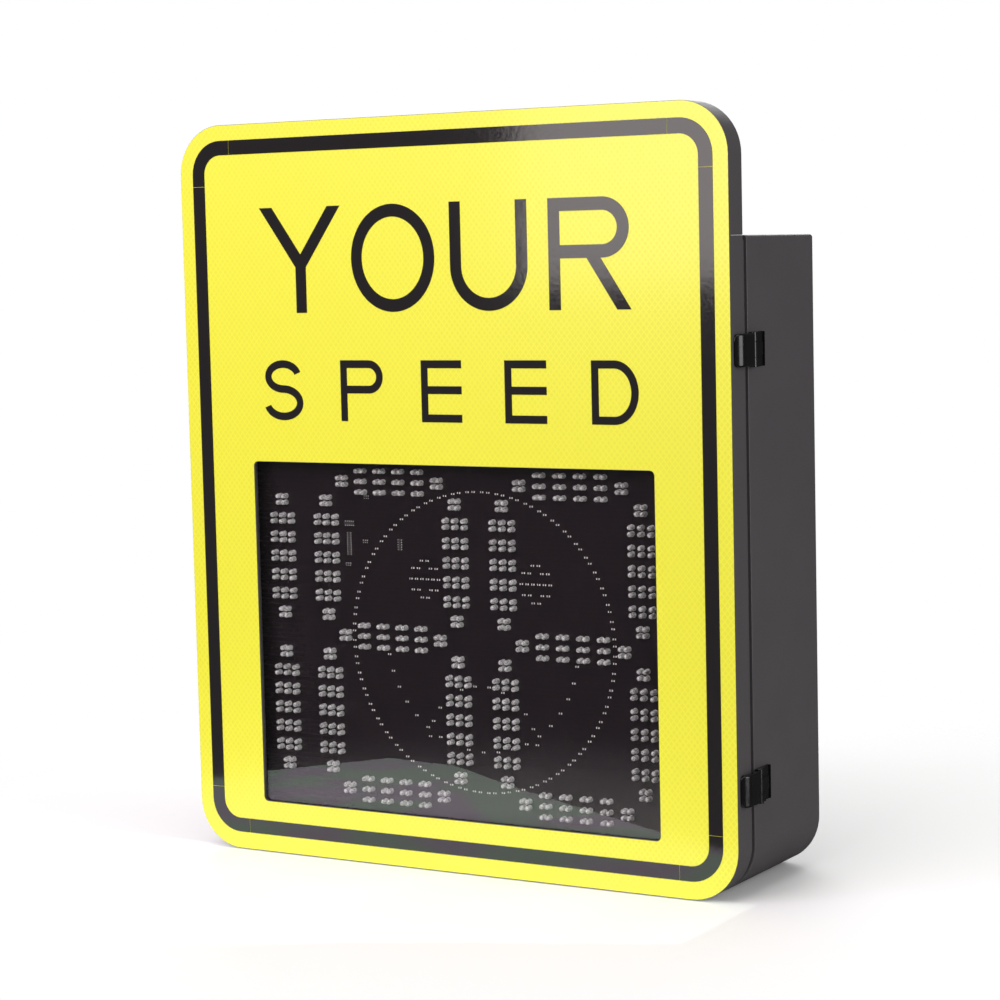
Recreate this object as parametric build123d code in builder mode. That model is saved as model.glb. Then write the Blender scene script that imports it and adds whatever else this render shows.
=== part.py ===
# Solar speed sign: a flat case for pole mounting, with a hinged front door that carries the sign face
# and the LED display. Millimetres. X to the right seen from the front, the front faces -Y, Z up.
# The origin is the centre of the four pole bolts, on the rear face of the two mounting rails.
import os
from math import cos, degrees, radians, sin

from build123d import *

os.makedirs("parts", exist_ok=True)

# Overall sizes
face_width = 635.0
hood_height = 127.0  # the face above the case
face_corner = 50.8
case_height = 635.0
total_depth = 191.5  # sign face to case back
rail_depth = 21.0

# Depths are measured back from the front of the sheeting
film = 0.25
sheeting = 0.4
sheet_trim = 0.4  # the sheeting stops short of every edge of the plate
plate_thickness = 2.5
door_depth = 29.5
seam = 3.0  # gasket between door and case
rim_height = 4.5
sheet_wall = 2.5
top_edge_radius = 3.0
back_edge_radius = 3.5
hairline = 0.3

# Border tape
border_inset = 16.0
border_inset_low = 17.8
border_width = 15.0
border_outer_radius = 35.0
tape_gap = 0.35
tape_splice = 12.0  # straight run of each corner piece

# Legend
upper_caps = 108.0
upper_stroke = 12.8
upper_base = 567.0  # above the lower edge of the face
upper_pitch = 112.0
lower_caps = 62.0
lower_stroke = 7.9
lower_base = 456.5
lower_pitch = 97.0

# Window and display
window_side_room = 23.5  # beside the outer columns of LEDs
window_end_room = 19.5
window_low = 54.0  # above the lower edge of the face
window_corner = 5.0
pane_overlap = 11.0
pane_thickness = 3.0
gasket_skin = 0.8
gasket_width = 8.0
retainer_thickness = 3.0
board_depth = 19.0
board_thickness = 1.6
board_overlap = 14.0
led_radius = 2.5
led_flange = 2.85
led_height = 8.6
led_lead = 1.0
lane = 11.0  # between the rows and columns of one segment
pair = 6.6  # between the two LEDs of one lane
stack_pitch = 19.77  # between the groups of an upright segment
run_pitch = 23.0  # between the groups of a level segment
digit_width = 156.0
digit_gap = 55.0
digit_half = 160.0  # between the level segments of a digit
display_shift = 0.5  # the middle column, from the sign's centre line
stack_offset = 80.05

# Emblem of surface-mount LEDs
chip_length = 3.2
chip_width = 1.6
chip_height = 0.8
emblem_shift = 26.5
ring_radius = 152.6
ring_pairs = 56
pair_split = 7.1
eye_reach = 65.0
eye_rise = 62.0
smile_radius = 111.3
smile_chips = 19
smile_step = 9.0  # degrees
frown_drop = 107.5
frown_radius = 63.4
frown_chips = 12
frown_step = 15.0

# Hinges and latches
side_inset = 108.0  # from the case's upper and lower edges to a hinge or latch
hinge_height = 24.0
hinge_barrel = 5.2
hinge_pin = 2.5
hinge_stand = 7.0
leaf_thickness = 2.0
leaf_reach = 23.0
pin_clearance = 0.04
knuckle_gap = 0.4
latch_height = 33.2
latch_ear = 8.8
latch_barrel = 3.6
latch_pin = 1.5
latch_stand = 4.5
latch_set = 3.0  # the pin, behind the front of the case body
latch_base_start = 7.5
latch_base_end = 31.0
latch_base_thickness = 2.0
latch_lip = 1.6
hook_length = 6.5
keeper_rise = 3.0
keeper_front = 12.0
keeper_back = 22.0

# Inside the case
panel_side_room = 47.5
panel_end_room = 57.5
panel_thickness = 2.0
panel_space = 6.0
battery_size = (181.0, 77.0, 167.0)
strap_width = 20.0
strap_thickness = 1.0
shelf_thickness = 2.0
fixing = 4.0  # nominal diameter of the small screws

# Rails on the back
rail_length = 420.0
rail_web = 41.0
rail_foot = 16.0
rail_wall = 2.5
rail_station = 200.0
pole_bolt_radius = 5.5
pole_bolt_spacing = 300.0
rail_bolt = 6.0

front = -(total_depth + rail_depth)
face_height = case_height + hood_height
case_low = -case_height / 2
case_high = case_height / 2
face_low = case_low
face_high = face_low + face_height
half = face_width / 2
plate_back = sheeting + plate_thickness
pane_front = plate_back + gasket_skin
pane_back = pane_front + pane_thickness
retainer_back = pane_back + retainer_thickness
case_front = door_depth + seam
case_body = case_front + rim_height
window_width = 2 * (digit_width + digit_gap + window_side_room)
window_height = 2 * (digit_half + window_end_room)
window_middle = face_low + window_low + window_height / 2


def facing(depth):
    """Plane parallel to the face, at a depth behind its front. Its X is +X, its Y is +Z, its normal is -Y."""
    return Plane.XZ.offset(-front - depth)


def at_depth(depth):
    """The y of a depth behind the front."""
    return front + depth


def save_solid(solid, name):
    solid.label = name
    export_step(solid, f"parts/{name}.step")


def save(piece, name):
    save_solid(piece.part, name)


def outline(low, high, inset, low_radius, high_radius, depth):
    """Rounded outline as wide as the sign less the inset, between two heights."""
    with BuildSketch(facing(depth)) as flat:
        with Locations((0, (low + high) / 2)):
            Rectangle(face_width - 2 * inset, high - low - 2 * inset)
        fillet(flat.vertices().group_by(Axis.Y)[0], max(low_radius - inset, 0.8))
        fillet(flat.vertices().group_by(Axis.Y)[-1], max(high_radius - inset, 0.8))
    return flat.sketch


def window(grow, radius, depth):
    """Rounded rectangle about the window opening, larger by grow on every side."""
    with BuildSketch(facing(depth)) as flat:
        with Locations((0, window_middle)):
            RectangleRounded(window_width + 2 * grow, window_height + 2 * grow, radius)
    return flat.sketch


# Face plate: one flat blank behind the whole face, with the window and an aperture for the radar.
radar_size = 92.0
radar_lift = 58.0  # centre above the top of the case
radar_middle = case_high + radar_lift
aperture = 70.0
aperture_corner = 6.0

with BuildPart() as sign_plate:
    extrude(outline(face_low, face_high, 0, face_corner, face_corner, plate_back), amount=plate_thickness)
    extrude(window(0, window_corner, plate_back), amount=plate_thickness, mode=Mode.SUBTRACT)
    with BuildSketch(facing(plate_back)):
        with Locations((0, radar_middle)):
            RectangleRounded(aperture, aperture, aperture_corner)
    extrude(amount=plate_thickness, mode=Mode.SUBTRACT)
save(sign_plate, "sign_plate")

with BuildPart() as reflective_sheet:
    extrude(outline(face_low, face_high, sheet_trim, face_corner, face_corner, sheeting), amount=sheeting)
    extrude(window(sheet_trim, window_corner + sheet_trim, sheeting), amount=sheeting, mode=Mode.SUBTRACT)
save(reflective_sheet, "reflective_sheet")

# Border tape: four corner pieces and four straight strips, with a hairline gap at each splice.
tape_low = face_low + border_inset_low
tape_high = face_high - border_inset
tape_half = half - border_inset
corner_run = border_outer_radius + tape_splice

with BuildPart() as border_tape:
    with BuildSketch(facing(0)) as tape:
        with Locations((0, (tape_low + tape_high) / 2)):
            RectangleRounded(2 * tape_half, tape_high - tape_low, border_outer_radius)
            RectangleRounded(
                2 * (tape_half - border_width),
                tape_high - tape_low - 2 * border_width,
                border_outer_radius - border_width,
                mode=Mode.SUBTRACT,
            )
        for side in (-1, 1):
            with Locations(
                (side * (tape_half - corner_run), tape_low),
                (side * (tape_half - corner_run), tape_high),
            ):
                Rectangle(tape_gap, 3 * border_width, mode=Mode.SUBTRACT)
            with Locations(
                (side * tape_half, tape_low + corner_run),
                (side * tape_half, tape_high - corner_run),
            ):
                Rectangle(3 * border_width, tape_gap, mode=Mode.SUBTRACT)
    extrude(amount=film)
save(border_tape, "border_tape")


# Legend: plain letters drawn as strokes of one width. Slanted strokes run past the line of letters and are
# cut level with it.
def letter_strokes(letter, caps, stroke):
    """Centre lines of one capital letter, about its middle, standing on zero: one group for each wire."""
    high = caps - stroke / 2
    low = stroke / 2
    mid = caps * 0.52
    side = 0.35 * caps
    bend = (high - mid) / 2
    stem = [Line((-side, 0), (-side, caps))]
    if letter == "Y":
        fork = caps * 0.45
        slope = (caps - fork) / (side + 0.04 * caps)
        reach = side + 0.04 * caps + 0.2 * caps
        arms = Polyline((-reach, fork + reach * slope), (0, fork), (reach, fork + reach * slope))
        return [[arms], [Line((0, 0), (0, fork + stroke / 4))]]
    if letter == "O":
        wide = side + 0.05 * caps
        return [
            [EllipticalCenterArc((0, caps / 2), wide, high - caps / 2, start, arc_size=180)]
            for start in (0, 180)
        ]
    if letter == "U":
        left = Line((-side, caps), (-side, low + side))
        bowl = CenterArc((0, low + side), side, 180, 180)
        right = Line((side, low + side), (side, caps))
        return [[left, bowl, right]]
    if letter in "PR":
        upper = Line((-side, high), (side - bend, high))
        bowl = CenterArc((side - bend, high - bend), bend, 90, -180)
        lower = Line((side - bend, mid), (-side, mid))
        leg = [Line((0.0, mid + 0.3 * low), (side + 0.12 * caps, -0.18 * caps))]
        return [stem, [upper, bowl, lower]] + ([leg] if letter == "R" else [])
    if letter == "E":
        return [stem] + [[Line((-side, level), (side, level))] for level in (low, mid, high)]
    if letter == "D":
        round_out = 0.36 * caps
        start = side - round_out
        upper = Line((-side, high), (start, high))
        bowl = EllipticalCenterArc((start, caps / 2), round_out, high - caps / 2, 90, arc_size=-180)
        lower = Line((start, low), (-side, low))
        return [stem, [upper, bowl, lower]]
    lower = (mid - low) / 2
    reach = 0.33 * caps
    top = EllipticalCenterArc((0, high - bend), reach - 0.03 * caps, bend, 15, arc_size=255)
    bottom = EllipticalCenterArc((0, low + lower), reach, lower, -165, arc_size=255)
    return [[top], [bottom]]


def legend(word, caps, stroke, pitch, base):
    """Cut film letters on one line, centred on the sign."""
    strokes = [letter_strokes(letter, caps, stroke) for letter in word]
    with BuildPart() as line:
        for place, wires in enumerate(strokes):
            centre = (place - (len(word) - 1) / 2) * pitch
            with BuildSketch(facing(0).shift_origin((centre, front, face_low + base))):
                for wire in wires:
                    trace(wire, line_width=stroke)
                with Locations((0, caps / 2)):
                    Rectangle(1.2 * caps, caps, mode=Mode.INTERSECT)
            extrude(amount=film)
    return line


legend_upper = legend("YOUR", upper_caps, upper_stroke, upper_pitch, upper_base)
save(legend_upper, "legend_upper")
legend_lower = legend("SPEED", lower_caps, lower_stroke, lower_pitch, lower_base)
save(legend_lower, "legend_lower")

# Window: seal, clear pane and the frame that clamps both to the plate.
with BuildPart() as window_gasket:
    extrude(window(pane_overlap, window_corner + 4, pane_front), amount=gasket_skin)
    opening = window(pane_overlap - gasket_width, window_corner, pane_front)
    extrude(opening, amount=gasket_skin, mode=Mode.SUBTRACT)
save(window_gasket, "window_gasket")

with BuildPart() as window_pane:
    extrude(window(pane_overlap, window_corner + 4, pane_back), amount=pane_thickness)
save(window_pane, "window_pane")

frame_outset = pane_overlap + 9.0
with BuildPart() as window_retainer:
    extrude(window(frame_outset, window_corner + 8, retainer_back), amount=retainer_back - plate_back)
    extrude(window(2, window_corner, retainer_back), amount=retainer_thickness, mode=Mode.SUBTRACT)
    extrude(
        window(pane_overlap + hairline, window_corner + 4, pane_back),
        amount=pane_back - plate_back,
        mode=Mode.SUBTRACT,
    )
save(window_retainer, "window_retainer")

# Door frame: a C-section ring behind the lower part of the plate, open at the rear to the case.
door_top = case_high - hairline / 2
flange = 16.0

with BuildPart() as door_frame:
    extrude(outline(face_low, door_top, 0, face_corner, 1, door_depth), amount=door_depth - plate_back)
    fillet(door_frame.faces().sort_by(Axis.Y)[-1].edges(), 1.0)
    extrude(
        outline(face_low, door_top, sheet_wall, face_corner, 1, door_depth - sheet_wall),
        amount=door_depth - plate_back - 2 * sheet_wall,
        mode=Mode.SUBTRACT,
    )
    extrude(
        outline(face_low, door_top, flange + sheet_wall, face_corner, 12, door_depth),
        amount=door_depth - plate_back,
        mode=Mode.SUBTRACT,
    )

# Upper tray: a closed hood behind the part of the face above the case.
tray_low = case_high + hairline / 2
with BuildPart() as upper_tray:
    extrude(outline(tray_low, face_high, 0, 1, face_corner, door_depth), amount=door_depth - plate_back)
    fillet(upper_tray.faces().sort_by(Axis.Y)[-1].edges(), 1.0)
    extrude(
        outline(tray_low, face_high, sheet_wall, 1, face_corner, door_depth - sheet_wall),
        amount=door_depth - plate_back - sheet_wall,
        mode=Mode.SUBTRACT,
    )
save(upper_tray, "upper_tray")

# Studs on the plate's back, through the door frame's front flange, each with a nut.
stud_line = half - sheet_wall - flange / 2
stud_low = face_low + sheet_wall + flange / 2
stud_high = door_top - sheet_wall - flange / 2
stud_length = 9.0
stud_step = (stud_high - stud_low) / 5
stud_places = [(side * stud_line, stud_low + row * stud_step) for side in (-1, 1) for row in (1, 2, 3, 4)]
stud_places += [(share * stud_line, level) for share in (-0.6, 0, 0.6) for level in (stud_low, stud_high)]

with BuildPart() as plate_studs:
    with BuildSketch(facing(plate_back + stud_length)):
        with Locations(*stud_places):
            Circle(fixing / 2)
    extrude(amount=stud_length)
save(plate_studs, "plate_studs")

with BuildPart(mode=Mode.PRIVATE) as stud_clearance:
    with BuildSketch(facing(plate_back + sheet_wall)):
        with Locations(*stud_places):
            Circle(fixing / 2 + 0.1)
    extrude(amount=sheet_wall)
with BuildPart() as drilled_frame:
    add(door_frame.part)
    add(stud_clearance.part, mode=Mode.SUBTRACT)
save(drilled_frame, "door_frame")

nut_height = 3.2
with BuildPart() as plate_nuts:
    with BuildSketch(facing(plate_back + sheet_wall + nut_height)):
        with Locations(*stud_places):
            RegularPolygon(4.0, 6)
            Circle(fixing / 2 + pin_clearance, mode=Mode.SUBTRACT)
    extrude(amount=nut_height)
save(plate_nuts, "plate_nuts")

# Display board on standoffs behind the retainer, with its screws outside the window.
board_back = board_depth + board_thickness
board_screw_places = [
    (x, window_middle + z)
    for x in (-window_width / 2 - 8, 0, window_width / 2 + 8)
    for z in (-window_height / 2 - 8, window_height / 2 + 8)
]

with BuildPart() as display_board:
    extrude(window(board_overlap, 4, board_back), amount=board_thickness)
    with BuildSketch(facing(board_back)):
        with Locations(*board_screw_places):
            Circle(fixing / 2 + 0.1)
    extrude(amount=board_thickness, mode=Mode.SUBTRACT)
save(display_board, "display_board")

with BuildPart() as board_standoffs:
    with BuildSketch(facing(board_depth)):
        with Locations(*board_screw_places):
            RegularPolygon(4.2, 6)
    extrude(amount=board_depth - retainer_back)
    with BuildSketch(facing(board_depth)):
        with Locations(*board_screw_places):
            Circle(fixing / 2 + pin_clearance)
    extrude(amount=5.0, mode=Mode.SUBTRACT)
save(board_standoffs, "board_standoffs")

screw_head = 2.4
with BuildPart() as board_screws:
    with BuildSketch(facing(board_back + screw_head)):
        with Locations(*board_screw_places):
            Circle(fixing * 0.9)
    extrude(amount=screw_head)
    with BuildSketch(facing(board_back)):
        with Locations(*board_screw_places):
            Circle(fixing / 2)
    extrude(amount=board_thickness + 4.5)
save(board_screws, "board_screws")


# LED places. An upright segment has seven groups: a block of four at each end, and five of three columns
# and two rows. A level segment has six groups: a block of four at each end, and four of two columns and
# three rows.
block = [(dx * pair / 2, dz * pair / 2) for dx in (-1, 1) for dz in (-1, 1)]
wide_group = [(dx * lane, dz * pair / 2) for dx in (-1, 0, 1) for dz in (-1, 1)]
tall_group = [(dx * pair / 2, dz * lane) for dx in (-1, 1) for dz in (-1, 0, 1)]


def upright_segment(column, level):
    places = []
    for group in range(7):
        shape = block if group in (0, 6) else wide_group
        places += [(column + x, level + (group - 3) * stack_pitch + z) for x, z in shape]
    return places


def level_segment(column, level):
    places = []
    for group in range(6):
        shape = block if group in (0, 5) else tall_group
        places += [(column + (group - 2.5) * run_pitch + x, level + z) for x, z in shape]
    return places


def upright_pair(column):
    return [
        place
        for side in (-1, 1)
        for place in upright_segment(column, window_middle + side * stack_offset)
    ]


def whole_digit(left, right):
    places = upright_pair(left) + upright_pair(right)
    for step in (-1, 0, 1):
        places += level_segment((left + right) / 2, window_middle + step * digit_half)
    return places


with BuildPart(mode=Mode.PRIVATE) as one_led:
    with BuildSketch(Plane.XZ):
        with BuildLine():
            Polyline((0, 0), (led_flange, 0), (led_flange, led_lead), (led_radius, led_lead))
            Line((led_radius, led_lead), (led_radius, led_height - led_radius))
            CenterArc((0, led_height - led_radius), led_radius, 0, 90)
            Line((0, led_height), (0, 0))
        make_face()
    revolve(axis=Axis.Z)


def dome_leds(places):
    """Round LEDs with a flange at the foot and a domed end, standing on the board."""
    stand = Rotation(90, 0, 0) * one_led.part
    return Compound([Pos(x, at_depth(board_depth), z) * stand for x, z in places])


middle_left = display_shift - digit_width
middle_right = display_shift
last_left = display_shift + digit_gap
last_right = last_left + digit_width
first_column = middle_left - digit_gap

save_solid(dome_leds(upright_pair(first_column)), "leds_left_digit")
save_solid(dome_leds(whole_digit(middle_left, middle_right)), "leds_middle_digit")
save_solid(dome_leds(whole_digit(last_left, last_right)), "leds_right_digit")


# Emblem: chip LEDs in a ring of pairs with two eyes, a smile and a frown, all lying level.
def arc_chips(radius, centre_z, middle, step, count):
    """Chips along an arc about the emblem's middle, evenly to both sides of an angle in degrees from +X."""
    turns = [radians(middle + step * (place - (count - 1) / 2)) for place in range(count)]
    return [(radius * cos(turn), centre_z + radius * sin(turn)) for turn in turns]


eye_rows = [
    (18.8, (3.4,)),
    (11.0, (7.2, 14.0)),
    (0.0, (3.3, 9.9, 16.5)),
    (-11.0, (7.2, 14.0)),
    (-18.8, (3.4,)),
]
half_split = degrees(pair_split / ring_radius / 2)
emblem = arc_chips(ring_radius, 0, 90 - half_split, 360 / ring_pairs, ring_pairs)
emblem += arc_chips(ring_radius, 0, 90 + half_split, 360 / ring_pairs, ring_pairs)
emblem += arc_chips(smile_radius, 0, 270, smile_step, smile_chips)
emblem += arc_chips(frown_radius, -frown_drop, 90, frown_step, frown_chips)
for eye in (-eye_reach, eye_reach):
    for rise, reaches in eye_rows:
        emblem += [(eye + side * reach, eye_rise + rise) for reach in reaches for side in (-1, 1)]


def clear_of_leds(x, z):
    """True where a chip at (x, z) stands clear of every round LED."""
    room = led_flange + chip_length / 2 + 0.6
    return all(abs(x - a) > room or abs(z - b) > room - 0.6 for a, b in all_led_places)


all_led_places = upright_pair(first_column)
all_led_places += whole_digit(middle_left, middle_right)
all_led_places += whole_digit(last_left, last_right)
emblem_places = [(emblem_shift + x, window_middle + z) for x, z in emblem]
emblem_places = [place for place in emblem_places if clear_of_leds(*place)]

with BuildPart() as emblem_leds:
    with BuildSketch(facing(board_depth)):
        with Locations(*emblem_places):
            Rectangle(chip_length, chip_width)
    extrude(amount=chip_height)
save(emblem_leds, "emblem_leds")

# Driver packages: a few on the board's front between the digits, the rest on its back.
# Each front package is (x, z above the display's middle, across, up).
chip_rise = 1.4
driver_height = 2.4
chip_blocks = [
    (-128.7, 116.3, 12.4, 5.0),
    (-129.4, 95.3, 4.8, 24.0),
    (-67.4, 96.2, 4.8, 12.0),
    (-109.5, 98.1, 6.0, 3.0),
    (-131.0, 73.8, 8.0, 3.0),
    (-107.0, 143.8, 6.0, 3.0),
]
driver_places = [(x, window_middle + z) for x in (-160, -80, 0, 80, 160) for z in (-100, 0, 100)]
with BuildPart() as board_chips:
    for x, z, across, up in chip_blocks:
        with BuildSketch(facing(board_depth)):
            with Locations((x, window_middle + z)):
                Rectangle(across, up)
        extrude(amount=chip_rise)
    with BuildSketch(facing(board_back + driver_height)):
        with Locations(*driver_places):
            Rectangle(18, 10.5)
    extrude(amount=driver_height)
save(board_chips, "board_chips")

plug_place = (0, window_middle - 130)
with BuildPart() as display_plug:
    with BuildSketch(facing(board_back + 6.5)):
        with Locations(plug_place):
            Rectangle(34, 9)
            Rectangle(31, 6, mode=Mode.SUBTRACT)
    extrude(amount=6.5)
    with BuildSketch(facing(board_back + 1.5)):
        with Locations(plug_place):
            Rectangle(34, 9)
    extrude(amount=1.5)
save(display_plug, "display_plug")

# Radar module on a bracket behind the aperture, fixed to the back of the upper tray.
radar_front = plate_back + 3.0
radar_back = radar_front + 14.0
tray_back = door_depth - sheet_wall
with BuildPart() as radar_module:
    with BuildSketch(facing(radar_back)):
        with Locations((0, radar_middle)):
            RectangleRounded(radar_size, radar_size, 6)
    extrude(amount=radar_back - radar_front)
    fillet(radar_module.faces().sort_by(Axis.Y)[0].edges(), 2.0)
save(radar_module, "radar_module")

bracket_thickness = 2.0
bracket_foot = 16.0
with BuildPart() as radar_bracket:
    with BuildSketch(facing(radar_back + bracket_thickness)):
        with Locations((0, radar_middle)):
            Rectangle(radar_size + 2 * bracket_thickness, radar_size * 0.6)
    extrude(amount=bracket_thickness)
    with BuildSketch(facing(tray_back)):
        for side in (-1, 1):
            with Locations((side * (radar_size + bracket_thickness) / 2, radar_middle)):
                Rectangle(bracket_thickness, radar_size * 0.6)
    extrude(amount=tray_back - radar_back)
    with BuildSketch(facing(tray_back)):
        for side in (-1, 1):
            with Locations((side * (radar_size / 2 + bracket_foot / 2), radar_middle)):
                Rectangle(bracket_foot, radar_size * 0.6)
    extrude(amount=bracket_thickness)
save(radar_bracket, "radar_bracket")

with BuildPart() as radar_screws:
    with BuildSketch(facing(tray_back - bracket_thickness)):
        for side in (-1, 1):
            with Locations((side * (radar_size / 2 + bracket_foot * 0.7), radar_middle - 18)):
                Circle(3.4)
            with Locations((side * (radar_size / 2 + bracket_foot * 0.7), radar_middle + 18)):
                Circle(3.4)
    extrude(amount=2.2)
save(radar_screws, "radar_screws")

# Case: a box with rolled lower corners, a front flange and a stepped rim for the door's gasket.
rim_inset = 3.0
mouth = 17.0
with BuildPart() as rear_case:
    extrude(
        outline(case_low, case_high, 0, face_corner, top_edge_radius, total_depth),
        amount=total_depth - case_body,
    )
    fillet(rear_case.faces().sort_by(Axis.Y)[-1].edges(), back_edge_radius)
    fillet(rear_case.faces().sort_by(Axis.Y)[0].edges(), 0.8)
    extrude(
        outline(case_low, case_high, rim_inset, face_corner, top_edge_radius + rim_inset, case_body + 0.9),
        amount=rim_height + 0.9,
    )
    extrude(
        outline(case_low, case_high, sheet_wall, face_corner, top_edge_radius + 1, total_depth - sheet_wall),
        amount=total_depth - case_body - 2 * sheet_wall,
        mode=Mode.SUBTRACT,
    )
    extrude(
        outline(case_low, case_high, mouth, face_corner, 12, case_body + 2 * sheet_wall),
        amount=rim_height + 2 * sheet_wall,
        mode=Mode.SUBTRACT,
    )

gasket_inset = 5.0
gasket_width_door = 9.0
with BuildPart() as door_gasket:
    extrude(outline(case_low, case_high, gasket_inset, face_corner, 6, case_front), amount=seam)
    extrude(
        outline(case_low, case_high, gasket_inset + gasket_width_door, face_corner, 8, case_front),
        amount=seam,
        mode=Mode.SUBTRACT,
    )
save(door_gasket, "door_gasket")


def plan(level, side=1):
    """Level plane whose X runs outward from one side of the case and whose Y is depth behind the face."""
    return Plane(origin=(side * half, front, level), x_dir=(side, 0, 0), z_dir=(0, 0, side))


side_station = case_height / 2 - side_inset
stations = (side_station, -side_station)


def rod(side, stand, depth, radius, low, high):
    """Upright round bar beside the case, between two heights."""
    with BuildSketch(plan(low if side > 0 else high, side)) as flat:
        with Locations((stand, depth)):
            Circle(radius)
    extrude(flat.sketch, amount=high - low)


def slab(side, near, far, shallow, deep, low, high):
    """Upright block beside the case: stand-off near to far, depth shallow to deep, between two heights."""
    with BuildSketch(plan(low if side > 0 else high, side)) as flat:
        with Locations(((near + far) / 2, (shallow + deep) / 2)):
            Rectangle(far - near, deep - shallow)
    extrude(flat.sketch, amount=high - low)


# Hinges on the left side: the case leaf has the middle knuckle, the door leaf the two outer ones.
hinge_depth = door_depth + seam / 2
knuckle = (hinge_height - 2 * knuckle_gap) / 3
with BuildPart() as hinge_case_leaves:
    for z in stations:
        low, high = z - hinge_height / 2, z + hinge_height / 2
        slab(-1, 0, leaf_thickness, case_body + 1, case_body + leaf_reach, low, high)
        slab(-1, 0, hinge_stand, hinge_depth, case_body + 5, z - knuckle / 2, z + knuckle / 2)
        rod(-1, hinge_stand, hinge_depth, hinge_barrel, z - knuckle / 2, z + knuckle / 2)
    with Locations(*[(-half - hinge_stand, at_depth(hinge_depth), z) for z in stations]):
        Cylinder(hinge_pin, hinge_height, mode=Mode.SUBTRACT)
save(hinge_case_leaves, "hinge_case_leaves")

with BuildPart() as hinge_door_leaves:
    for z in stations:
        low, high = z - hinge_height / 2, z + hinge_height / 2
        slab(-1, 0, leaf_thickness, door_depth - leaf_reach, door_depth - 1.5, low, high)
        for low, high in (
            (z - hinge_height / 2, z - knuckle / 2 - knuckle_gap),
            (z + knuckle / 2 + knuckle_gap, z + hinge_height / 2),
        ):
            slab(-1, 0.3, hinge_stand, door_depth - 6, hinge_depth, low, high)
            rod(-1, hinge_stand, hinge_depth, hinge_barrel, low, high)
    with Locations(*[(-half - hinge_stand, at_depth(hinge_depth), z) for z in stations]):
        Cylinder(hinge_pin + pin_clearance, hinge_height + 1, mode=Mode.SUBTRACT)
save(hinge_door_leaves, "hinge_door_leaves")

pin_head = 1.2
pin_rise = 0.6
with BuildPart() as hinge_pins:
    for z in stations:
        top = z + hinge_height / 2 + pin_rise
        rod(-1, hinge_stand, hinge_depth, hinge_pin, z - hinge_height / 2, top)
        rod(-1, hinge_stand, hinge_depth, hinge_pin + 1.4, top, top + pin_head)
save(hinge_pins, "hinge_pins")

# Latches on the right side: a base on the case and a lever that hooks over a keeper on the door.
latch_depth = case_body + latch_set
base_front = case_body + latch_base_start
base_back = case_body + latch_base_end
latch_half = latch_height / 2
tongue_half = latch_half - latch_ear - knuckle_gap
boss_rise = 3.4
lip_rise = 3.2
with BuildPart() as latch_bases:
    for z in stations:
        low, high = z - latch_half, z + latch_half
        slab(1, 0, latch_base_thickness, base_front, base_back, low, high)
        slab(1, 0, lip_rise, base_back - latch_lip, base_back, low, high)
        slab(1, 0, boss_rise, base_front + 4, base_back - 5, z - tongue_half + 1, z + tongue_half - 1)
        for bottom, top in ((low, low + latch_ear), (high - latch_ear, high)):
            slab(1, latch_stand - latch_barrel, latch_stand, latch_depth, base_front + 9, bottom, top)
            rod(1, latch_stand, latch_depth, latch_barrel, bottom, top)
    with Locations(*[(half + latch_stand, at_depth(latch_depth), z) for z in stations]):
        Cylinder(latch_pin, latch_height, mode=Mode.SUBTRACT)
    fillet(latch_bases.edges().filter_by(Axis.X).group_by(Axis.Y)[-1], 1.5)
save(latch_bases, "latch_bases")

with BuildPart() as latch_pins:
    for z in stations:
        rod(1, latch_stand, latch_depth, latch_pin, z - latch_half, z + latch_half)
save(latch_pins, "latch_pins")

# The lever's plan is one closed curve: a cover flush with the barrel, rounded down in front to a hook that
# shuts over the keeper.
cover_half = latch_half - 1.0
cover_rise = latch_stand + latch_barrel
cover_back = latch_depth - latch_barrel - 1.0
cover_inner = keeper_rise + 0.8
cover_corner = 5.0
cover_slope = 12.0
lever_front = keeper_front - hook_length
hook_near = 0.8
hook_back = keeper_front - 0.6


def lever(z):
    """Latch lever about its pin, at one height."""
    with BuildPart() as piece:
        with BuildSketch(plan(z - cover_half)):
            with BuildLine():
                Polyline(
                    (cover_inner, cover_back),
                    (cover_rise, cover_back),
                    (cover_rise, lever_front + cover_slope),
                )
                RadiusArc((cover_rise, lever_front + cover_slope), (hook_near, lever_front), cover_slope)
                Polyline(
                    (hook_near, lever_front),
                    (hook_near, hook_back),
                    (cover_inner, hook_back),
                    (cover_inner, cover_back),
                )
            make_face()
        extrude(amount=2 * cover_half)
        with BuildSketch(Plane.YZ.offset(half)):
            with Locations((at_depth((lever_front + latch_depth) / 2), z)):
                RectangleRounded(latch_depth - lever_front, 2 * cover_half, cover_corner)
        extrude(amount=2 * cover_rise, mode=Mode.INTERSECT)
        fillet(piece.faces().sort_by(Axis.X)[-1].edges().filter_by(Axis.Y), 2.0)
        low, high = z - tongue_half, z + tongue_half
        slab(1, latch_stand - 1.6, cover_rise - 1.2, cover_back - 3, latch_depth, low, high)
        rod(1, latch_stand, latch_depth, latch_barrel, low, high)
        with Locations((half + latch_stand, at_depth(latch_depth), z)):
            Cylinder(latch_pin + pin_clearance, latch_height, mode=Mode.SUBTRACT)
    return piece


save(lever(side_station), "latch_lever_upper")
save(lever(-side_station), "latch_lever_lower")

with BuildPart() as latch_keepers:
    for z in stations:
        slab(1, 0, keeper_rise, keeper_front, keeper_back, z - tongue_half, z + tongue_half)
    fillet(latch_keepers.edges().filter_by(Axis.Z).group_by(Axis.X)[-1], 1.0)
save(latch_keepers, "latch_keepers")

# Rivets that fix the hinge leaves, heads outside.
rivet_radius = 1.6
rivet_head = 0.9


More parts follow.
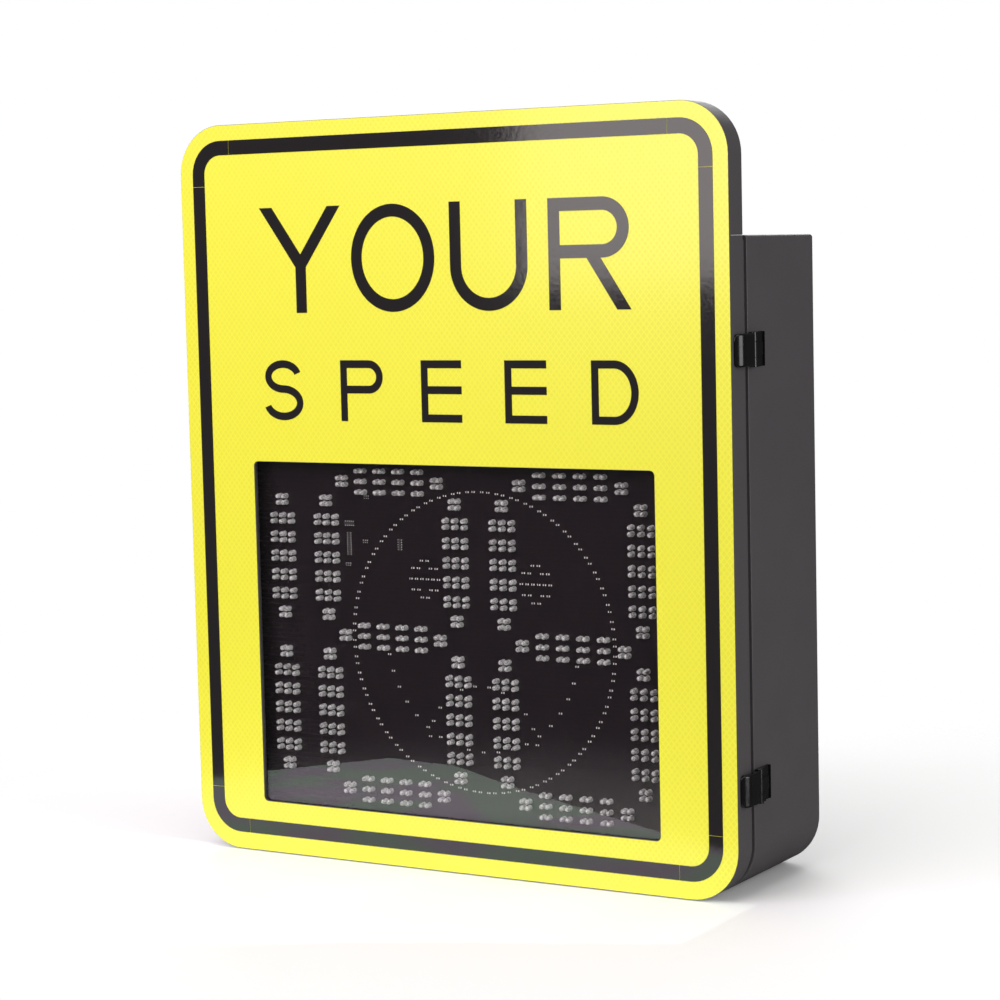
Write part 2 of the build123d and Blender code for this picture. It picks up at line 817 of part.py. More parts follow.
def rivets(side, spots, stand):
    """Domed rivets through the side wall at (depth, height) spots."""
    with BuildPart() as piece:
        for depth, z in spots:
            with BuildSketch(Plane(origin=(side * (half + stand), at_depth(depth), z), z_dir=(side, 0, 0))):
                Circle(rivet_radius * 1.8)
            extrude(amount=rivet_head)
            fillet(piece.faces().sort_by(Axis.X)[-1 if side > 0 else 0].edges(), rivet_head * 0.6)
    return piece


case_spots = [(case_body + 17, z + step) for z in stations for step in (-7, 7)]
save(rivets(-1, case_spots, leaf_thickness), "case_rivets")
door_spots = [(door_depth - 17, z + step) for z in stations for step in (-7, 7)]
save(rivets(-1, door_spots, leaf_thickness), "door_rivets")

# Equipment panel on spacers inside the back wall.
inner_back = total_depth - sheet_wall
panel_back = inner_back - panel_space
panel_front = panel_back - panel_thickness
panel_middle = 15.0
panel_width = face_width - 2 * panel_side_room
panel_height = case_height - 2 * panel_end_room
panel_low = panel_middle - panel_height / 2
hole_across = panel_width / 2 - 20
hole_up = panel_height / 2 - 20
panel_holes = [(x * hole_across, panel_middle + z * hole_up) for x in (-1, 1) for z in (-1, 1)]
panel_screw = 2.5

with BuildPart() as equipment_panel:
    with BuildSketch(facing(panel_back)):
        with Locations((0, panel_middle)):
            RectangleRounded(panel_width, panel_height, 8)
        with Locations(*panel_holes):
            Circle(panel_screw + 0.2, mode=Mode.SUBTRACT)
    extrude(amount=panel_thickness)
save(equipment_panel, "equipment_panel")

with BuildPart() as panel_spacers:
    with BuildSketch(facing(inner_back)):
        with Locations(*panel_holes):
            Circle(6)
    extrude(amount=panel_space)
    with BuildSketch(facing(panel_back)):
        with Locations(*panel_holes):
            Circle(panel_screw)
    extrude(amount=panel_thickness + 5)
save(panel_spacers, "panel_spacers")

with BuildPart() as panel_nuts:
    with BuildSketch(facing(panel_front)):
        with Locations(*panel_holes):
            RegularPolygon(4.6, 6)
            Circle(panel_screw + pin_clearance, mode=Mode.SUBTRACT)
    extrude(amount=4)
save(panel_nuts, "panel_nuts")

# Battery on a shelf, held to the panel by a strap.
battery_across, battery_deep, battery_up = battery_size
battery_shift = 40 - panel_width / 4
battery_low = panel_low + 22.0
battery_high = battery_low + battery_up
battery_front = panel_front - battery_deep
terminal_pitch = 150.0
with BuildPart() as battery:
    with BuildSketch(facing(panel_front)):
        with Locations((battery_shift, battery_low + battery_up / 2)):
            Rectangle(battery_across, battery_up)
    extrude(amount=battery_deep)
    fillet(battery.edges().filter_by(Axis.Z), 3)
    lid_edges = battery.faces().sort_by(Axis.Z)[-1].edges()
    chamfer(lid_edges, 2)
save(battery, "battery")

terminal_depth = panel_front - battery_deep / 2
terminal_spots = [battery_shift + side * terminal_pitch / 2 for side in (-1, 1)]
with BuildPart() as battery_terminals:
    for x in terminal_spots:
        with Locations((x, at_depth(terminal_depth), battery_high + 5)):
            Box(10, 14, 10)
    fillet(battery_terminals.edges().filter_by(Axis.Z), 1.5)
save(battery_terminals, "battery_terminals")

with BuildPart() as battery_tray:
    with BuildSketch(Plane.XY.offset(battery_low - shelf_thickness)):
        with Locations((battery_shift, at_depth((battery_front + panel_front) / 2 - 2))):
            Rectangle(battery_across + 10, battery_deep + 4)
    extrude(amount=shelf_thickness)
    with BuildSketch(Plane.XY.offset(battery_low)):
        with Locations((battery_shift, at_depth(battery_front - 3.0))):
            Rectangle(battery_across + 10, 2)
    extrude(amount=10)
save(battery_tray, "battery_tray")

strap_level = battery_low + battery_up * 0.62
with BuildPart() as battery_strap:
    with BuildSketch(Plane.XY.offset(strap_level)):
        with Locations((battery_shift, at_depth((battery_front + panel_front - strap_thickness) / 2 - 0.1))):
            Rectangle(battery_across + 2 * strap_thickness + 0.4, battery_deep + strap_thickness + 0.2)
        with Locations((battery_shift, at_depth((battery_front + panel_front) / 2))):
            Rectangle(battery_across + 0.4, battery_deep + 0.4, mode=Mode.SUBTRACT)
        for side in (-1, 1):
            with Locations(
                (
                    battery_shift + side * (battery_across / 2 + strap_thickness + 9),
                    at_depth(panel_front - strap_thickness / 2),
                )
            ):
                Rectangle(18, strap_thickness)
    extrude(amount=strap_width)
save(battery_strap, "battery_strap")


def unit(name, centre, size, rise, radius):
    """Rounded box on the equipment panel: centre (x, z), size (across, up), rise from the panel."""
    with BuildPart() as piece:
        with BuildSketch(facing(panel_front)):
            with Locations(centre):
                RectangleRounded(size[0], size[1], radius)
        extrude(amount=rise)
        fillet(piece.faces().sort_by(Axis.Y)[0].edges(), min(radius * 0.6, 1.5))
    save(piece, name)


controller_place = (battery_shift, 115)
controller_size = (150, 92)
controller_rise = 32.0
unit("charge_controller", controller_place, controller_size, controller_rise, 5)

terminal_level = controller_place[1] - controller_size[1] / 2 - 6.0
terminal_steps = (-2.5, -1.5, -0.5, 0.5, 1.5, 2.5)
terminal_row = [(controller_place[0] + step * 13, terminal_level) for step in terminal_steps]
terminal_rise = 14.0
with BuildPart() as charge_terminals:
    with BuildSketch(facing(panel_front)):
        with Locations(*terminal_row):
            Rectangle(11, 12)
    extrude(amount=terminal_rise)
    with BuildSketch(facing(panel_front - terminal_rise)):
        with Locations(*terminal_row):
            Circle(3)
    extrude(amount=-3, mode=Mode.SUBTRACT)
save(charge_terminals, "charge_terminals")

# Main board on four standoffs.
board_place = (panel_width / 4 - 5, 90)
board_size = (190, 150)
board_lift = 8.0
main_front = panel_front - board_lift - board_thickness
main_holes = [(board_place[0] + x * 87, board_place[1] + z * 67) for x in (-1, 1) for z in (-1, 1)]
with BuildPart() as control_board:
    with BuildSketch(facing(panel_front - board_lift)):
        with Locations(board_place):
            RectangleRounded(board_size[0], board_size[1], 3)
        with Locations(*main_holes):
            Circle(1.7, mode=Mode.SUBTRACT)
    extrude(amount=board_thickness)
save(control_board, "control_board")

with BuildPart() as control_standoffs:
    with BuildSketch(facing(panel_front)):
        with Locations(*main_holes):
            RegularPolygon(3.5, 6)
    extrude(amount=board_lift)
    with BuildSketch(facing(panel_front - board_lift)):
        with Locations(*main_holes):
            Circle(1.5)
    extrude(amount=board_thickness)
    with BuildSketch(facing(main_front)):
        with Locations(*main_holes):
            Circle(2.8)
    extrude(amount=2)
save(control_standoffs, "control_standoffs")

parts_on_board = [
    (-20, 12, 26, 26, 2.6),
    (38, 30, 14, 20, 3.0),
    (38, -8, 14, 20, 3.0),
    (-62, 40, 22, 14, 8.0),
    (-62, 8, 22, 14, 8.0),
    (-58, -48, 40, 12, 11.0),
    (0, -48, 40, 12, 11.0),
    (58, -48, 40, 12, 11.0),
    (72, 30, 12, 12, 16.0),
    (72, 8, 12, 12, 16.0),
]
with BuildPart() as control_chips:
    for x, z, across, up, rise in parts_on_board:
        with BuildSketch(facing(main_front)):
            with Locations((board_place[0] + x, board_place[1] + z)):
                Rectangle(across, up)
        extrude(amount=rise)
save(control_chips, "control_chips")

# Terminal block, fuse holder and power switch in a row below the main board.
row_level = -60.0
block_ways = 8
block_pitch = 10.0
block_place = panel_width / 4 - 50
block_rise = 17.0
with BuildPart() as terminal_block:
    with BuildSketch(facing(panel_front)):
        with Locations((block_place, row_level)):
            Rectangle(block_ways * block_pitch + 6, 24)
    extrude(amount=block_rise)
    with BuildSketch(facing(panel_front - block_rise)):
        with Locations((block_place, row_level)):
            with GridLocations(block_pitch, 12, block_ways, 2):
                Circle(3.2)
    extrude(amount=-5, mode=Mode.SUBTRACT)
save(terminal_block, "terminal_block")

fuse_place = block_place + 90
fuse_length = 26.0
with BuildPart() as fuse_holder:
    with BuildSketch(facing(panel_front)):
        with Locations((fuse_place, row_level)):
            Rectangle(fuse_length + 4, 24)
    extrude(amount=10)
    with BuildSketch(Plane.YZ.offset(fuse_place - fuse_length / 2)):
        with Locations((at_depth(panel_front - 14), row_level)):
            Circle(6.5)
    extrude(amount=fuse_length)
save(fuse_holder, "fuse_holder")

# Rocker switch in a small upright box: the rocker turns about a level axis.
switch_place = (fuse_place + 53, row_level)
switch_box = (26.0, 40.0, 34.0)  # across, up, rise
rocker_radius = 11.5
rocker_width = 14.0
rocker_pin = 1.5
axis_depth = panel_front - switch_box[2] + 5.0
axis_plane = Plane.YZ.offset(switch_place[0])
with BuildPart() as switch_housing:
    with BuildSketch(facing(panel_front)):
        with Locations(switch_place):
            RectangleRounded(switch_box[0], switch_box[1], 2)
    extrude(amount=switch_box[2])
    with BuildSketch(axis_plane):
        with Locations((at_depth(axis_depth), switch_place[1])):
            Circle(rocker_radius + 0.5)
    extrude(amount=rocker_width / 2 + 0.4, both=True, mode=Mode.SUBTRACT)
    with BuildSketch(axis_plane):
        with Locations((at_depth(axis_depth), switch_place[1])):
            Circle(rocker_pin + pin_clearance)
    extrude(amount=rocker_width / 2 + 3.0, both=True, mode=Mode.SUBTRACT)
save(switch_housing, "switch_housing")

rocker_centre = (switch_place[0], at_depth(axis_depth), switch_place[1])
rocker_plane = Plane(origin=rocker_centre, x_dir=(0, 1, 0), z_dir=(1, 0, 0))
with BuildPart() as switch_rocker:
    with BuildSketch(rocker_plane):
        with BuildLine():
            CenterArc((0, 0), rocker_radius, -90, 180)
            Polyline(
                (0, rocker_radius),
                (-7.5, rocker_radius - 2.5),
                (-4.6, 0),
                (-7.5, -rocker_radius + 2.5),
                (0, -rocker_radius),
            )
        make_face()
    extrude(amount=rocker_width / 2, both=True)
    with BuildSketch(rocker_plane):
        Circle(rocker_pin)
    extrude(amount=rocker_width / 2 + 2.6, both=True)
save(switch_rocker, "switch_rocker")

# Cable glands and a vent plug through the back wall, below the panel.
entry_level = case_low + 34.0
entry_places = [(-60.0, entry_level), (60.0, entry_level)]
vent_place = (0.0, entry_level)
gland_bore = 4.0
gland_thread = 8.0
gland_hex = 11.0
gland_length = 17.0
vent_radius = 6.0

with BuildPart() as cable_glands:
    with BuildSketch(facing(total_depth)):
        with Locations(*entry_places):
            RegularPolygon(gland_hex, 6)
    extrude(amount=-5)
    with BuildSketch(facing(total_depth + 5)):
        with Locations(*entry_places):
            Circle(gland_hex - 1.6)
    extrude(amount=-(gland_length - 5))
    chamfer(cable_glands.faces().sort_by(Axis.Y)[-1].edges(), 2.5)
    with BuildSketch(facing(total_depth)):
        with Locations(*entry_places):
            Circle(gland_thread)
    extrude(amount=sheet_wall + 8)
    with BuildSketch(facing(total_depth + gland_length)):
        with Locations(*entry_places):
            Circle(gland_bore)
    extrude(amount=gland_length + sheet_wall + 8, mode=Mode.SUBTRACT)
save(cable_glands, "cable_glands")

with BuildPart() as gland_nuts:
    with BuildSketch(facing(inner_back)):
        with Locations(*entry_places):
            RegularPolygon(gland_hex, 6)
            Circle(gland_thread + pin_clearance, mode=Mode.SUBTRACT)
    extrude(amount=4)
save(gland_nuts, "gland_nuts")

with BuildPart() as vent_plug:
    with BuildSketch(facing(total_depth)):
        with Locations(vent_place):
            Circle(vent_radius * 1.6)
    extrude(amount=-5)
    fillet(vent_plug.faces().sort_by(Axis.Y)[-1].edges(), 1.5)
    with BuildSketch(facing(total_depth)):
        with Locations(vent_place):
            Circle(vent_radius)
    extrude(amount=sheet_wall + 5)
save(vent_plug, "vent_plug")

# Mounting rails: two hat sections across the back, bolted through the wall.
rail_half = rail_web / 2
rail_bolt_places = [
    (side * (rail_length / 2 - 25), station + edge * (rail_half + rail_foot / 2))
    for side in (-1, 1)
    for station in (-rail_station, rail_station)
    for edge in (-1, 1)
]
pole_bolts = [
    (side * pole_bolt_spacing / 2, end * rail_station) for side in (-1, 1) for end in (-1, 1)
]

with BuildPart() as mounting_rails:
    for station in (-rail_station, rail_station):
        with BuildSketch(Plane.YZ.offset(-rail_length / 2)):
            with Locations((-rail_wall / 2, station)):
                Rectangle(rail_wall, rail_web)
            for edge in (-1, 1):
                with Locations((-rail_depth / 2, station + edge * (rail_web - rail_wall) / 2)):
                    Rectangle(rail_depth, rail_wall)
                with Locations((-rail_depth + rail_wall / 2, station + edge * (rail_half + rail_foot / 2))):
                    Rectangle(rail_wall, rail_foot)
        extrude(amount=rail_length)
    with BuildSketch(Plane.XZ):
        with Locations(*pole_bolts):
            Circle(pole_bolt_radius)
    extrude(amount=rail_wall, mode=Mode.SUBTRACT)
    with BuildSketch(facing(total_depth)):
        with Locations(*rail_bolt_places):
            Circle(rail_bolt / 2 + pin_clearance)
    extrude(amount=-rail_wall, mode=Mode.SUBTRACT)
save(mounting_rails, "mounting_rails")

with BuildPart() as rail_bolts:
    with BuildSketch(facing(total_depth + rail_wall)):
        with Locations(*rail_bolt_places):
            RegularPolygon(5.8, 6)
    extrude(amount=-4)
    with BuildSketch(facing(total_depth + rail_wall)):
        with Locations(*rail_bolt_places):
            Circle(rail_bolt / 2)
    extrude(amount=rail_wall + sheet_wall + 5.8)
save(rail_bolts, "rail_bolts")

with BuildPart() as rail_nuts:
    with BuildSketch(facing(inner_back)):
        with Locations(*rail_bolt_places):
            RegularPolygon(5.5, 6)
            Circle(rail_bolt / 2 + pin_clearance, mode=Mode.SUBTRACT)
    extrude(amount=5)
save(rail_nuts, "rail_nuts")

# Earth stud inside the case, on the back wall beside the glands.
earth_place = (130.0, entry_level)
with BuildPart() as earth_stud:
    with BuildSketch(facing(inner_back)):
        with Locations(earth_place):
            RegularPolygon(5.5, 6)
    extrude(amount=4)
    with BuildSketch(facing(inner_back - 4)):
        with Locations(earth_place):
            Circle(2.5)
    extrude(amount=12)
save(earth_stud, "earth_stud")

# Holes in the case wall for the glands, the vent and the rail bolts.
with BuildPart() as drilled_case:
    add(rear_case.part)
    with BuildSketch(facing(total_depth)):
        with Locations(*entry_places):
            Circle(gland_thread)
        with Locations(vent_place):
            Circle(vent_radius)
        with Locations(*rail_bolt_places):
            Circle(rail_bolt / 2 + pin_clearance)
    extrude(amount=sheet_wall, mode=Mode.SUBTRACT)
save(drilled_case, "rear_case")

# Leads from the battery up to the charge controller.
lead_radius = 1.6
with BuildPart() as battery_leads:
    for spot, target in zip(terminal_spots, (terminal_row[1], terminal_row[4])):
        start = (spot, at_depth(terminal_depth), battery_high + 10)
        turn_low = (spot, at_depth(terminal_depth), battery_high + 40)
        end_y = at_depth(panel_front - 7)
        turn_high = (target[0], end_y, target[1] - 46)
        end = (target[0], end_y, target[1] - 6)
        with BuildLine() as route:
            FilletPolyline(start, turn_low, turn_high, end, radius=24)
        with BuildSketch(Plane(origin=start, z_dir=(0, 0, 1))):
            Circle(lead_radius)
        sweep(path=route.line)
save(battery_leads, "battery_leads")
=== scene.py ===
import math

import bmesh
import bpy
import numpy as np
from mathutils import Matrix, Vector


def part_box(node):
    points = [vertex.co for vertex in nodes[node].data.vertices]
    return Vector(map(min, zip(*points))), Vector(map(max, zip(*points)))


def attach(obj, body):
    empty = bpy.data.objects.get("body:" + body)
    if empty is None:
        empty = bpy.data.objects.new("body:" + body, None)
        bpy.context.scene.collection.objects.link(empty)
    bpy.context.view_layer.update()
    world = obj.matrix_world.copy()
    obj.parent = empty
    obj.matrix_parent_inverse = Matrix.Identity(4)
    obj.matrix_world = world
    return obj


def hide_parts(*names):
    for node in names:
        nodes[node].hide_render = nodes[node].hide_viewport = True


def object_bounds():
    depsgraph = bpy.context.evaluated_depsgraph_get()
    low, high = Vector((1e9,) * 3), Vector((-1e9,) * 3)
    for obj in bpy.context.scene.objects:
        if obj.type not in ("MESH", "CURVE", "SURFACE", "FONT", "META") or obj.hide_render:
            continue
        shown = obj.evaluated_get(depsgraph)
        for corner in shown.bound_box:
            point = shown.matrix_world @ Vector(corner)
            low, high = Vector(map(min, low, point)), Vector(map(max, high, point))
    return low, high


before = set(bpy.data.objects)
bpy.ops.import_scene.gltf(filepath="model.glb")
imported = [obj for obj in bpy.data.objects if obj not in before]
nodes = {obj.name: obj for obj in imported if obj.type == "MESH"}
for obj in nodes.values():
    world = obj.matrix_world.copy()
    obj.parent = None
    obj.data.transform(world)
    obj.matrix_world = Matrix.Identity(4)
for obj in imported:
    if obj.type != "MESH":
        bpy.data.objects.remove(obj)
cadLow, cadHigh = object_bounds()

mm = 0.001
scene = bpy.context.scene
scene.view_settings.view_transform = "Standard"


def linear(hexColour, alpha=1.0):
    # sRGB hex to linear RGBA
    parts = [int(hexColour[i:i + 2], 16) / 255 for i in (0, 2, 4)]
    return (*[c / 12.92 if c <= 0.04045 else ((c + 0.055) / 1.055) ** 2.4 for c in parts], alpha)


def add(tree, kind, settings=None, links=None):
    # adds one node; settings are attributes or socket values, links are sources for its sockets
    node = tree.nodes.new(kind)
    for key, value in (settings or {}).items():
        if isinstance(key, str) and hasattr(node, key):
            setattr(node, key, value)
        else:
            node.inputs[key].default_value = value
    for key, source in (links or {}).items():
        tree.links.new(source, node.inputs[key])
    return node


def startFinish(name, colour, **sockets):
    # a material with one Principled shader; constants go straight onto its sockets
    material = bpy.data.materials.new(name)
    material.use_nodes = True
    tree = material.node_tree
    shader = tree.nodes["Principled BSDF"]
    shader.inputs["Base Color"].default_value = linear(colour)
    for key, value in sockets.items():
        shader.inputs[key.replace("_", " ")].default_value = value
    place = add(tree, "ShaderNodeTexCoord").outputs["Object"]
    return material, tree, shader, place


def grain(tree, place, size, detail=3.0, roughness=0.5):
    # noise whose features are about `size` mm
    return add(tree, "ShaderNodeTexNoise", {
        "Scale": 1 / (size * mm), "Detail": detail, "Roughness": roughness}, {"Vector": place}).outputs["Fac"]


def spread(tree, source, low, high, fromLow=0.3, fromHigh=0.7, curve="LINEAR"):
    # maps a pattern onto a range of plain numbers
    ends = {"From Min": fromLow, "From Max": fromHigh, "To Min": low, "To Max": high}
    return add(tree, "ShaderNodeMapRange", {"interpolation_type": curve, **ends},
               {"Value": source}).outputs["Result"]


def tint(tree, source, first, second):
    # mixes two colours by a pattern from 0 to 1
    return add(tree, "ShaderNodeMix", {"data_type": "RGBA", 6: linear(first), 7: linear(second)},
               {0: source}).outputs[2]


def relief(tree, shader, source, height, strength=1.0):
    # bump whose full height is `height` mm
    bump = add(tree, "ShaderNodeBump", {"Strength": strength, "Distance": height * mm}, {"Height": source})
    tree.links.new(bump.outputs["Normal"], shader.inputs["Normal"])


def maths(tree, operation, first, second=0.0, third=0.0):
    # one sum on patterns or plain numbers
    node = add(tree, "ShaderNodeMath", {"operation": operation})
    for index, value in enumerate((first, second, third)):
        if isinstance(value, (int, float)):
            node.inputs[index].default_value = value
        else:
            tree.links.new(value, node.inputs[index])
    return node.outputs[0]


def surfaceMix(tree, factor, shader, clear):
    # the surface goes from the shader to the clear one as the factor goes from 0 to 1
    mix = add(tree, "ShaderNodeMixShader", None, {0: factor, 1: shader.outputs[0], 2: clear.outputs[0]})
    tree.links.new(mix.outputs[0], tree.nodes["Material Output"].inputs["Surface"])


def clearShadow(tree, shader, colour):
    # lamps shine through the piece, tinted by the colour, as they do through real glass
    clear = add(tree, "ShaderNodeBsdfTransparent", {"Color": linear(colour)})
    surfaceMix(tree, add(tree, "ShaderNodeLightPath").outputs["Is Shadow Ray"], shader, clear)


def copperRuns(tree, place, pitch, gap, length, row):
    # a brick pattern stood up in the board's plane; its joints are the copper, its unit is `pitch` mm
    upright = add(tree, "ShaderNodeMapping", {"Rotation": (math.radians(90), 0, 0)}, {"Vector": place})
    return add(tree, "ShaderNodeTexBrick", {
        "Scale": 1 / (pitch * mm), "Mortar Size": gap, "Brick Width": length, "Row Height": row},
        {"Vector": upright.outputs[0]}).outputs["Fac"]


sheeting = {"cellWidth": 6.2, "cellHeight": 7.6, "face": "ECEC42", "cell": "E3E33A",
            "seamFrom": 0.26, "seamTo": 0.46, "patchy": 0.16, "ripple": 26}


def prismaticSheeting():
    # fluorescent yellow-green prismatic sheeting: a clear film over moulded prisms, sealed
    # in a net of diamonds, so the eye sees pale seam lines round slightly darker cells
    material, tree, shader, place = startFinish(
        "fluorescentPrismaticSheeting", sheeting["face"], Roughness=0.34, IOR=1.49,
        Coat_Weight=0.35, Coat_Roughness=0.12)
    split = add(tree, "ShaderNodeSeparateXYZ", None, {"Vector": place})
    across = maths(tree, "DIVIDE", split.outputs["X"], sheeting["cellWidth"] * mm)
    up = maths(tree, "DIVIDE", split.outputs["Z"], sheeting["cellHeight"] * mm)
    rising = maths(tree, "ADD", across, up)
    falling = maths(tree, "SUBTRACT", across, up)
    away = maths(tree, "MAXIMUM", maths(tree, "PINGPONG", rising, 0.5),
                 maths(tree, "PINGPONG", falling, 0.5))
    seam = spread(tree, away, 0.0, 1.0, sheeting["seamFrom"], sheeting["seamTo"], "SMOOTHSTEP")
    cell = add(tree, "ShaderNodeCombineXYZ", None, {
        "X": maths(tree, "ROUND", rising), "Y": maths(tree, "ROUND", falling)})
    patch = add(tree, "ShaderNodeTexWhiteNoise", {"noise_dimensions": "2D"}, {"Vector": cell.outputs[0]})
    lift = maths(tree, "MULTIPLY", patch.outputs["Value"], sheeting["patchy"])
    blend = maths(tree, "MULTIPLY_ADD", seam, 1 - sheeting["patchy"], lift)
    tree.links.new(tint(tree, blend, sheeting["cell"], sheeting["face"]), shader.inputs["Base Color"])
    tree.links.new(spread(tree, seam, 0.38, 0.28, 0.0, 1.0), shader.inputs["Roughness"])
    height = maths(tree, "MULTIPLY_ADD", seam, 0.12, grain(tree, place, sheeting["ripple"], 2.0))
    relief(tree, shader, height, 0.1, 0.5)
    return material


def vinylFilm():
    # cast black vinyl film rolled onto the sheeting: near black and glossy, with the faint
    # orange peel of the film and its glue, which wavers the edges of what it mirrors
    material, tree, shader, place = startFinish("castBlackVinyl", "232122", Roughness=0.07, IOR=1.5)
    peel = grain(tree, place, 7, 2.0, 0.45)
    tree.links.new(spread(tree, grain(tree, place, 3), 0.05, 0.12), shader.inputs["Roughness"])
    relief(tree, shader, peel, 0.05, 0.55)
    return material


def powderCoat():
    # fine satin polyester powder coat on folded steel: charcoal, with a pebble just
    # large enough to break up the highlight (about 0.4 mm, drawn at 0.9 mm so that it shows)
    material, tree, shader, place = startFinish("powderCoatedSteel", "4A4749", Roughness=0.44, IOR=1.5)
    pebble = grain(tree, place, 0.9, 2.0)
    cloud = grain(tree, place, 60, 3.0)
    tree.links.new(tint(tree, cloud, "484547", "4E4B4D"), shader.inputs["Base Color"])
    tree.links.new(spread(tree, pebble, 0.4, 0.52), shader.inputs["Roughness"])
    relief(tree, shader, pebble, 0.06, 0.6)
    return material


def clearPane():
    # extruded clear polycarbonate: see-through and glossy, with a slow ripple that bends what
    # it mirrors
    material, tree, shader, place = startFinish(
        "clearPolycarbonate", "F6F6F6", Roughness=0.0, IOR=1.5, Transmission_Weight=1.0)
    relief(tree, shader, grain(tree, place, 90, 1.0), 0.08, 0.25)
    clearShadow(tree, shader, "F0F0F0")
    return material


def lensEpoxy():
    # cast water-clear epoxy round the leadframe: bright and white, partly milky epoxy and partly a painted
    # sheen of the silver leadframe inside, with a glossy dome
    material, tree, shader, place = startFinish(
        "castClearEpoxy", "FFFFFF", Roughness=0.06, IOR=1.5, Transmission_Weight=0.42)
    paintedLeadframeView = spread(tree, grain(tree, place, 1.5, 1.0), 0.0, 1.0, 0.44, 0.54)  # painted view of the leadframe's folds, magnified
    tree.links.new(tint(tree, paintedLeadframeView, "B2B3B2", "FFFFFF"), shader.inputs["Base Color"])
    tree.links.new(spread(tree, grain(tree, place, 1.6), 0.04, 0.16), shader.inputs["Roughness"])
    clearShadow(tree, shader, "E8ECE9")
    return material


def plated(name, colour, low, high, size, height=0.02, metallic=1.0):
    # plated or drawn metal: mottled roughness at `size` mm breaks up what it mirrors
    material, tree, shader, place = startFinish(name, colour, Roughness=low, Metallic=metallic)
    pattern = grain(tree, place, size)
    tree.links.new(spread(tree, pattern, low, high), shader.inputs["Roughness"])
    relief(tree, shader, pattern, height, 0.5)
    return material


def galvanisedSteel():
    # hot-dip galvanised steel strip: grey zinc with spangles a few millimetres across
    material, tree, shader, place = startFinish("galvanisedSteel", "A9ACAD", Roughness=0.4, Metallic=1.0)
    spangleSize = 7
    spangle = add(tree, "ShaderNodeTexVoronoi", {"Scale": 1 / (spangleSize * mm)}, {"Vector": place})
    shade = add(tree, "ShaderNodeSeparateColor", None, {"Color": spangle.outputs["Color"]}).outputs[0]
    tree.links.new(tint(tree, shade, "A6A9AB", "B8BBBC"), shader.inputs["Base Color"])
    tree.links.new(spread(tree, shade, 0.42, 0.52, 0.0, 1.0), shader.inputs["Roughness"])
    relief(tree, shader, grain(tree, place, 2.5), 0.03, 0.4)
    return material


def brushedAluminium():
    # rolled aluminium sheet, mill finish: fine lines along the rolling direction (about
    # 0.1 mm apart, drawn at 0.7 mm so that they show)
    material, tree, shader, place = startFinish("rolledAluminium", "B9BBBC", Roughness=0.34, Metallic=1.0)
    along = (0.02, 1.0, 1.0)
    stretched = add(tree, "ShaderNodeMapping", {"Scale": along}, {"Vector": place}).outputs[0]
    lines = grain(tree, stretched, 0.7, 4.0, 0.6)
    tree.links.new(spread(tree, lines, 0.27, 0.45), shader.inputs["Roughness"])
    tree.links.new(tint(tree, lines, "ACAEAF", "C4C6C7"), shader.inputs["Base Color"])
    relief(tree, shader, lines, 0.012, 0.5)
    return material


def moulded(name, colour, second, roughness, size=0.8, height=0.03, **sockets):
    # moulded plastic or rubber with a spark-eroded texture from its tool, `size` mm across
    material, tree, shader, place = startFinish(name, colour, Roughness=roughness, **sockets)
    texture = grain(tree, place, size)
    cloud = spread(tree, grain(tree, place, 25), 0, 1)
    tree.links.new(tint(tree, cloud, colour, second), shader.inputs["Base Color"])
    tree.links.new(spread(tree, texture, roughness - 0.05, roughness + 0.08), shader.inputs["Roughness"])
    relief(tree, shader, texture, height, 0.5)
    return material


def maskedBoard():
    # glass-epoxy board under black solder mask: dark plum, half gloss, with the faint raised
    # runs of copper under the mask
    material, tree, shader, place = startFinish("blackMaskedLaminate", "1D171B", Roughness=0.14, IOR=1.4)
    tracks = copperRuns(tree, place, 12, 0.06, 2.6, 0.42)
    tree.links.new(tint(tree, tracks, "1D171B", "1F191D"), shader.inputs["Base Color"])
    tree.links.new(spread(tree, grain(tree, place, 2), 0.1, 0.18), shader.inputs["Roughness"])
    relief(tree, shader, tracks, 0.01, 0.2)
    return material


def greenBoard():
    # glass-epoxy board under green solder mask, with copper runs showing through it
    material, tree, shader, place = startFinish("greenMaskedLaminate", "1F5A38", Roughness=0.3, IOR=1.5)
    tracks = copperRuns(tree, place, 9, 0.07, 2.2, 0.3)
    tree.links.new(tint(tree, tracks, "1B5233", "3A7D4E"), shader.inputs["Base Color"])
    relief(tree, shader, tracks, 0.04, 0.5)
    return material


def insulatedWire():
    # PVC insulation: red on the positive side of the battery, black on the other
    material, tree, shader, place = startFinish("pvcInsulation", "B11A1A", Roughness=0.38)
    across = add(tree, "ShaderNodeSeparateXYZ", None, {"Vector": place}).outputs["X"]
    low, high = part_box("battery")
    side = maths(tree, "GREATER_THAN", across, (low[0] + high[0]) / 2)
    tree.links.new(tint(tree, side, "A81E1C", "1A1A1B"), shader.inputs["Base Color"])
    relief(tree, shader, grain(tree, place, 1.2), 0.03, 0.4)
    return material


